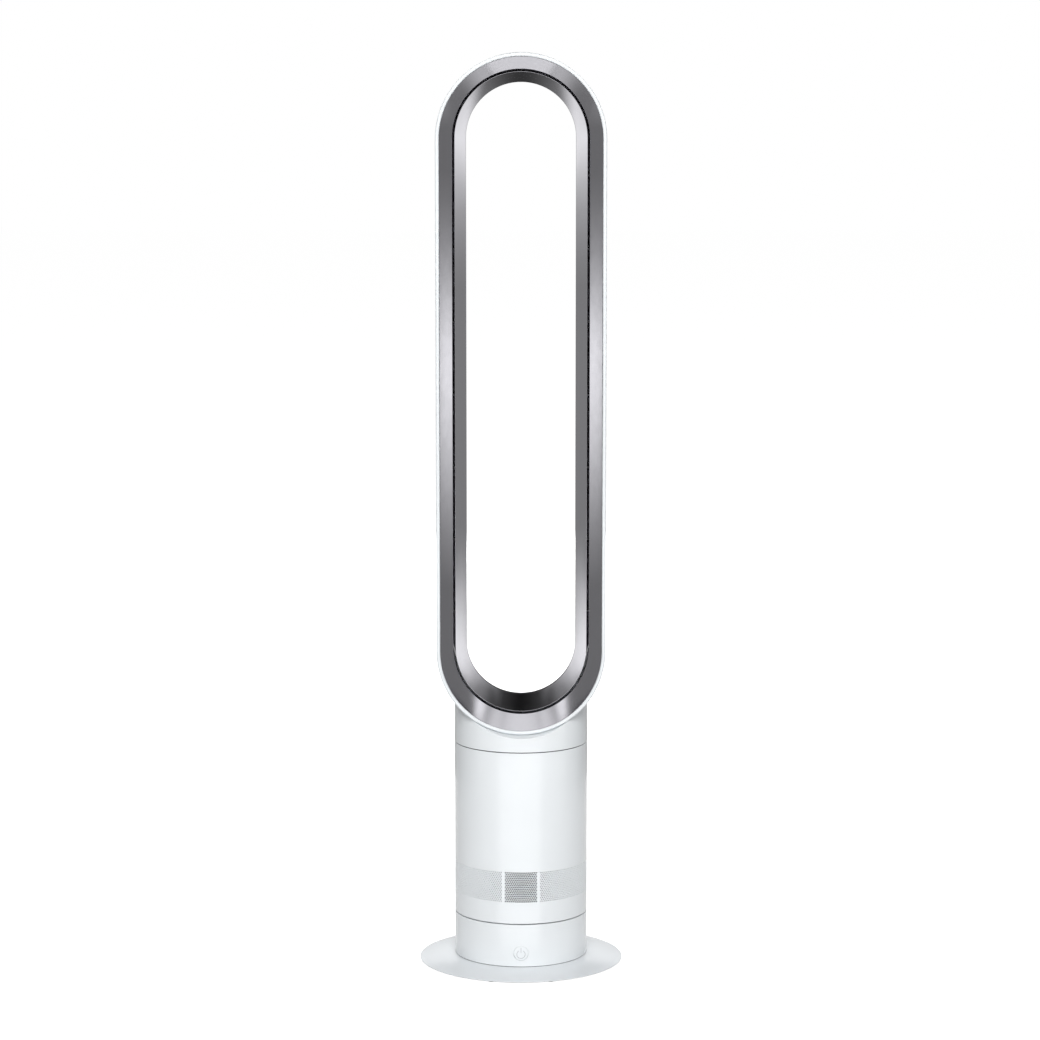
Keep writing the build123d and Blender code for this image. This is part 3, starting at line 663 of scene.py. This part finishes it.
# ================================================================ foot and seams
def make_foot(dome_steps=24):
    """Thin domed foot whose rim is cut under all round."""
    seat = body_radius + foot_seat_margin
    edge, low = foot_radius - foot_edge_radius, foot_low.z
    run, rise = edge - seat, foot_floor - foot_edge_top
    outline = []
    for k in range(dome_steps + 1):
        t = k / dome_steps
        bulge = 4 * foot_bulge * t * (1 - t)
        outline.append((seat + run * t, foot_floor - rise * t + bulge))
    centre = (edge, foot_edge_top - foot_edge_radius)
    outline += oval(centre, foot_edge_radius, foot_edge_radius, 75, -45, 6)
    under = foot_radius - foot_undercut
    outline += [(under + 0.3 * MM, low + 0.05 * MM), (under, low)]
    ring_inner = foot_radius - foot_ring_width
    outline += [(ring_inner, low), (ring_inner, low + foot_recess)]
    outline += [(seat, foot_floor - foot_wall), (spindle_bore, foot_floor - foot_wall)]
    outline.append((spindle_bore, foot_floor))
    mesh = turned(softened(outline, foot_softness))
    piece("domed_foot", *mesh, "base", "foot_gloss", "base_disc")


def make_painted_seam_shade():
    """Painted shade: dark rings deep in the seams over the foot and under the collar, put there to
    stand for the shadow in those gaps.
    """
    # black rings of painted shade, where the seams hold only shadow
    for name, body, inner, low, high in (
        # the ring's inner radius, then its heights
        ("foot_seam_painted_shade", "base", body_radius - 1.15 * MM,
         foot_floor + 0.03 * MM, foot_floor + 0.67 * MM),
        ("collar_seam_painted_shade", "tower", body_inner + 1.2 * MM,
         collar_low.z - 0.97 * MM, collar_low.z - 0.03 * MM),
    ):
        outer = inner + painted_shade_ring_width
        outline = softened([(inner, low), (outer, low), (outer, high), (inner, high)], 0.1 * MM)
        piece(name, *turned(outline), body, "black_plastic")


# ================================================================ power button
def wall_y(x, lift=0.0):
    """Y of the front of the base's round wall at x, lifted off it by so much."""
    return -math.sqrt((body_radius + lift) ** 2 - x * x)


def button_section(angle):
    """Section of the cap at an angle, from the middle of its face to the middle of its back."""
    across, up = math.cos(angle), math.sin(angle)
    flange_y = -math.sqrt(body_inner**2 - button_flange_radius**2) + 0.3 * MM
    back_y = flange_y + button_flange

    def at(reach, y):
        return (reach * across, y, button_z + reach * up)

    def on_wall(reach, sink=0.0):
        return at(reach, wall_y(reach * across) + sink)

    section = [on_wall(reach) for reach in (button_middle, 2 * MM, 4 * MM, 6 * MM, 7.2 * MM)]
    section.append(on_wall(button_radius - button_softness))
    section.append(on_wall(button_radius - button_softness / 3, button_softness / 3))
    section.append(on_wall(button_radius, button_softness))
    section += [at(button_radius, flange_y), at(button_flange_radius, flange_y)]
    section += [at(button_flange_radius, back_y), at(button_stem_radius, back_y)]
    return section + [at(button_stem_radius, button_high.y), at(button_middle, button_high.y)]


def make_button(steps=64):
    """Round button whose face follows the base's wall."""
    sections = [button_section(TURN * i / steps) for i in range(steps)]
    vertices, faces = skin(sections, True, False)
    width = len(sections[0])
    faces.append(tuple(i * width for i in range(steps)))
    faces.append(tuple(i * width + width - 1 for i in range(steps)))
    piece("button_cap", vertices, faces, "power_button", "white_gloss", "power_button")


def ridge(name, line):
    """Low ridge along a line of (x, z) on the button's face."""
    profile = ((-1, -0.5), (-1, 0.4), (-0.6, 1), (0.6, 1), (1, 0.4), (1, -0.5))
    sections = []
    for k, (x, z) in enumerate(line):
        start, end = line[max(k - 1, 0)], line[min(k + 1, len(line) - 1)]
        along = Vector((end[0] - start[0], end[1] - start[1])).normalized()
        side = Vector((-along.y, along.x)) * mark_half_width
        section = []
        for share, height in profile:
            px, pz = x + side.x * share, z + side.y * share
            section.append((px, wall_y(px, mark_lift * height), button_z + pz))
        sections.append(section)
    points, quads = skin(sections, False, True)
    width = len(profile)
    quads.append(tuple(range(width)))
    quads.append(tuple(range(len(points) - width, len(points))))
    piece(name, points, quads, "power_button", "grey_plastic")


def make_standby_mark(bar_steps=6):
    """Raised mark on the button: an open ring and a bar in its gap."""
    ridge("standby_ring", oval((0, -mark_drop), mark_radius, mark_radius, 122, 418, 48))
    heights = [bar_low - mark_drop + bar_length * k / bar_steps for k in range(bar_steps + 1)]
    ridge("standby_bar", [(0, z) for z in heights])


# ================================================================ studio: nodes and surfaces
def studio_material(name):
    """An emptied node material and its tree."""
    material = bpy.data.materials.new(name)
    material.use_nodes = True
    material.node_tree.nodes.clear()
    return material, material.node_tree


def studio_mesh(name, vertices, faces, material):
    """A mesh of the surroundings, which isn't part of the object."""
    mesh = bpy.data.meshes.new(name)
    mesh.from_pydata(vertices, [], faces)
    mesh.materials.append(material)
    made = add_object(name, mesh)
    return made


def feed(tree, socket, value):
    """Sets a socket to a number, or links another node's output to it."""
    if isinstance(value, (int, float)):
        socket.default_value = value
    else:
        tree.links.new(value, socket)


def maths(tree, kind, first, second=0.0):
    """A maths node on two inputs, each a number or another node's output."""
    node = tree.nodes.new("ShaderNodeMath")
    node.operation = kind
    feed(tree, node.inputs[0], first)
    feed(tree, node.inputs[1], second)
    return node.outputs["Value"]


def soft_step(tree, value, start, end, low=0.0, high=1.0):
    """Smooth change from low to high while the value goes from start to end."""
    node = tree.nodes.new("ShaderNodeMapRange")
    node.interpolation_type = "SMOOTHSTEP"
    names = ("Value", "From Min", "From Max", "To Min", "To Max")
    for name, number in zip(names, (value, start, end, low, high)):
        feed(tree, node.inputs[name], number)
    return node.outputs["Result"]


def glow_shader(tree, strength):
    """Plain white light of a strength, which is a number or a node's output."""
    glow = tree.nodes.new("ShaderNodeEmission")
    feed(tree, glow.inputs["Strength"], strength)
    return glow.outputs["Emission"]


def show(tree, shader):
    """Makes a shader the surface of the tree's material."""
    out = tree.nodes.new("ShaderNodeOutputMaterial")
    tree.links.new(shader, out.inputs["Surface"])


def only_reflections(card):
    """Studio cards light nothing and show only as reflections."""
    card.visible_camera = False
    card.visible_diffuse = False
    card.visible_transmission = False
    card.visible_volume_scatter = False
    card.visible_shadow = False


def seen_directly(tree):
    """1 for camera, glossy and transmission rays, else 0."""
    path = tree.nodes.new("ShaderNodeLightPath")
    both = maths(tree, "MAXIMUM", path.outputs["Is Camera Ray"], path.outputs["Is Glossy Ray"])
    return maths(tree, "MAXIMUM", both, path.outputs["Is Transmission Ray"])


# ================================================================ studio: floor, world, tent
def white_floor(half=15.0, seen_glow=0.915, mirrored_loss=-0.54, grey=0.6):
    """Pale floor that runs into the white background and keeps the fan's shadow."""
    material, tree = studio_material("floor")
    diffuse = tree.nodes.new("ShaderNodeBsdfDiffuse")
    diffuse.inputs["Color"].default_value = (grey, grey, grey, 1)
    path = tree.nodes.new("ShaderNodeLightPath")
    mirrored = maths(tree, "MULTIPLY", path.outputs["Is Glossy Ray"], mirrored_loss)
    seen = maths(tree, "MULTIPLY", seen_directly(tree), seen_glow)
    both = tree.nodes.new("ShaderNodeAddShader")
    tree.links.new(diffuse.outputs["BSDF"], both.inputs[0])
    tree.links.new(glow_shader(tree, maths(tree, "ADD", seen, mirrored)), both.inputs[1])
    show(tree, both.outputs["Shader"])
    corners = [(-half, -half, 0), (half, -half, 0), (half, half, 0), (-half, half, 0)]
    studio_mesh("floor", corners, [(0, 1, 2, 3)], material)


def white_world(level=0.13):
    """White where it is seen or reflected, a plain even level where it lights."""
    world = bpy.data.worlds.new("studio")
    world.use_nodes = True
    tree = world.node_tree
    background = tree.nodes["Background"]
    background.inputs["Color"].default_value = (1, 1, 1, 1)
    strength = maths(tree, "ADD", maths(tree, "MULTIPLY", seen_directly(tree), 1 - level), level)
    tree.links.new(strength, background.inputs["Strength"])
    bpy.context.scene.world = world


def tent_glow(tree, white=0.93):
    """Glow of the tent, by height in metres and by angle either side of its middle."""
    place = tree.nodes.new("ShaderNodeTexCoord")
    split = tree.nodes.new("ShaderNodeSeparateXYZ")
    tree.links.new(place.outputs["Object"], split.inputs["Vector"])
    up = split.outputs["Z"]
    turn = maths(tree, "ARCTAN2", split.outputs["X"], split.outputs["Y"])
    side = maths(tree, "ABSOLUTE", turn)

    def by_side(start, end, low=0.0, high=1.0):
        """Smooth change between two angles from the middle, in degrees."""
        return soft_step(tree, side, math.radians(start), math.radians(end), low, high)

    # the cloth itself is darkest in the middle, and still darker high up there
    cloth = by_side(34, 46, by_side(0, 30, 0.045, 0.26), 0.2)
    high_middle = soft_step(tree, up, 0.78, 1.1, 1.0, 0.25)
    cloth = maths(tree, "MULTIPLY", cloth, by_side(29, 38, high_middle, 1.0))
    # light rises from the floor on both sides of the middle
    beside_middle = by_side(46, 40, 0.0, by_side(18, 28))
    foot = maths(tree, "MULTIPLY", soft_step(tree, up, 0.33, -0.34), beside_middle)
    # and comes in over the top, lower down at the sides
    top_start = by_side(25, 35, 1.5, 1.2)
    top = soft_step(tree, up, top_start, maths(tree, "ADD", top_start, 0.65))
    light = maths(tree, "MAXIMUM", foot, top)
    to_white = maths(tree, "SUBTRACT", white, cloth)
    return maths(tree, "ADD", cloth, maths(tree, "MULTIPLY", to_white, light))


def dark_tent(radius=1.1, height=2.2, skirt=0.89, clear=0.002, steps=48):
    """Dark cloth round the back of the fan, with a skirt that lies just over the floor."""
    rings = []
    for i in range(steps + 1):
        angle = math.radians(-100 + 200 * i / steps)
        x, y = radius * math.sin(angle), radius * math.cos(angle)
        rings.append([(skirt * x, skirt * y, clear), (x, y, clear), (x, y, height)])
    material, tree = studio_material("dark_tent")
    show(tree, glow_shader(tree, tent_glow(tree)))
    only_reflections(studio_mesh("dark_tent", *skin(rings, False, False), material))


# ================================================================ studio: cards
# A profile lists (height in metres, share of the card's glow) from the bottom up. A card lists
# its columns as (x in metres, factor, profile), and its glow fades evenly between them all.
# Inward profiles are worn by the columns nearest to the middle, outward ones by the farthest.
band_profile = [
    (0.36, 0), (0.41, 0.12), (0.44, 0.22), (0.47, 0.36), (0.50, 0.52), (0.53, 0.68),
    (0.56, 0.82), (0.59, 0.94), (0.615, 1), (0.645, 1), (0.675, 0.86), (0.705, 0.66),
    (0.735, 0.46), (0.765, 0.28), (0.795, 0.15), (0.825, 0.06), (0.86, 0),
]
band_inward = [(z, share * min(1, max(0, (0.745 - z) / 0.1))) for z, share in band_profile]
high_profile = [
    (0.737, 0), (0.767, 0.05), (0.796, 0.13), (0.826, 0.26), (0.856, 0.48), (0.885, 0.79),
    (0.905, 1), (1.03, 1), (1.05, 0),
]
high_inward = [
    (0.737, 0), (0.767, 0.05), (0.796, 0.13), (0.826, 0.26), (0.85, 0.5), (0.872, 0.85),
    (0.887, 1), (1.03, 1), (1.05, 0),
]
low_profile = [
    (0.21, 0), (0.24, 1), (0.315, 1), (0.351, 0.67), (0.381, 0.42), (0.41, 0.2),
    (0.44, 0.05), (0.46, 0),
]
low_middle = [
    (0.21, 0), (0.24, 1), (0.33, 1), (0.351, 0.8), (0.381, 0.43), (0.405, 0.1),
    (0.42, 0), (0.46, 0),
]
low_outward = [
    (0.21, 0), (0.24, 1), (0.345, 1), (0.366, 0.66), (0.388, 0.25), (0.402, 0.03),
    (0.408, 0), (0.42, 0),
]
stripe_profile = [(0.002, 1), (0.21, 1), (0.25, 0)]
floor_profile = [(0.002, 0.6), (0.11, 1), (0.15, 0)]

# name, y, radiance, columns of the right card, whose mirror image stands on the left
paired_cards = (
    # what the sides of the front band reflect
    ("band_card", 0.25, 1.24, [
        (0.205, 0, band_inward), (0.235, 0.7, band_inward), (0.256, 1, band_profile),
        (0.28, 1, band_profile), (0.295, 0, band_profile),
    ]),
    # what the top of the inner wall's sides reflects
    ("inner_high", 0.18, 1.06, [
        (0.028, 0, high_inward), (0.042, 1, high_inward), (0.054, 1, high_profile),
        (0.1, 1, high_profile), (0.12, 0, high_profile),
    ]),
    # and their foot
    ("inner_low", 0.18, 1.1, [
        (0.038, 0, low_profile), (0.05, 1, low_profile), (0.057, 1, low_profile),
        (0.068, 1, low_middle), (0.087, 1, low_outward), (0.11, 0, low_outward),
    ]),
)
single_cards = (
    # the bright upright stripe on the white cylinders
    ("front_card", -0.17, 2.6, [
        (-0.13, 0, stripe_profile), (-0.077, 1, stripe_profile),
        (0.073, 1, stripe_profile), (0.108, 0, stripe_profile),
    ]),
    # the white behind the foot
    ("foot_card", 0.25, 1.0, [
        (-0.4, 0, floor_profile), (-0.25, 1, floor_profile),
        (0.25, 1, floor_profile), (0.4, 0, floor_profile),
    ]),
)


def card_material(name, radiance):
    """Glow mixed with nothing, by the glow share that the card's points carry."""
    material, tree = studio_material(name)
    share = tree.nodes.new("ShaderNodeAttribute")
    share.attribute_name = "glow"
    clear = tree.nodes.new("ShaderNodeBsdfTransparent")
    mix = tree.nodes.new("ShaderNodeMixShader")
    tree.links.new(share.outputs["Fac"], mix.inputs["Fac"])
    tree.links.new(clear.outputs["BSDF"], mix.inputs[1])
    tree.links.new(glow_shader(tree, radiance), mix.inputs[2])
    show(tree, mix.outputs["Shader"])
    return material


def make_card(name, y, radiance, columns):
    """Upright glowing card at that depth."""
    rings = [[(x, y, z) for z, _ in profile] for x, _, profile in columns]
    shares = [factor * share for _, factor, profile in columns for _, share in profile]
    material = card_material(name, radiance)
    made = studio_mesh(name, *skin(rings, False, False), material)
    made.data.attributes.new("glow", "FLOAT", "POINT").data.foreach_set("value", shares)
    only_reflections(made)


def make_cards():
    """All the cards that the silver bands and the white cylinders reflect."""
    for name, y, radiance, columns in paired_cards:
        for side in (-1, 1):
            mirrored = [(side * x, factor, profile) for x, factor, profile in columns]
            make_card(f"{name}_{side}", y, radiance, mirrored)
    for card in single_cards:
        make_card(*card)


# ================================================================ studio: lamps and camera
lamps = (
    # name, place and aim in metres, size in metres, power in watts
    ("key_lamp", (0.05, -3.0, 2.2), (0, 0, 0.3), 1.6, 118),
    ("top_lamp", (0.0, 1.2, 2.8), (0, 0, 0), 1.0, 14),
    ("back_lamp", (-0.4, 3.2, 1.0), (0, 0, 0.5), 1.6, 66),
    ("side_lamp_-1", (-3.0, 1.1, 0.9), (0, 0, 0.4), 1.2, 11),
    ("side_lamp_1", (3.0, 1.1, 0.9), (0, 0, 0.4), 1.2, 11),
)
camera_place = (-0.0011, -3.7755, 1.0195)
camera_tilt = 82.099  # degrees up from straight down
camera_lens = 119.6
camera_sensor = 36


def soft_lamp(name, place, aim, size, power):
    """Large square lamp that lights but doesn't show in reflections."""
    lamp = bpy.data.lights.new(name, "AREA")
    lamp.shape = "SQUARE"
    lamp.size = size
    lamp.energy = power
    made = add_object(name, lamp)
    made.location = place
    made.rotation_mode = "QUATERNION"
    made.rotation_quaternion = (Vector(aim) - Vector(place)).to_track_quat("-Z", "Y")
    made.visible_glossy = False
    made.visible_camera = False


def make_studio():
    """Floor, white surroundings, five soft lamps, and what the glossy pieces reflect."""
    white_floor()
    white_world()
    for lamp in lamps:
        soft_lamp(*lamp)
    dark_tent()
    make_cards()
    bpy.context.scene.view_settings.view_transform = "Standard"


def make_camera():
    """Camera at the photograph's angle."""
    data = bpy.data.cameras.new("camera")
    data.sensor_width = camera_sensor
    data.lens = camera_lens
    data.clip_start, data.clip_end = 0.05, 60
    made = add_object("camera", data)
    made.location = camera_place
    made.rotation_euler = (math.radians(camera_tilt), 0, 0)
    bpy.context.scene.camera = made


finishes = make_finishes()
finish_cad_pieces()
make_loop()
make_collar()
make_body()
make_foot()
make_painted_seam_shade()
make_button()
make_standby_mark()
make_studio()
make_camera()
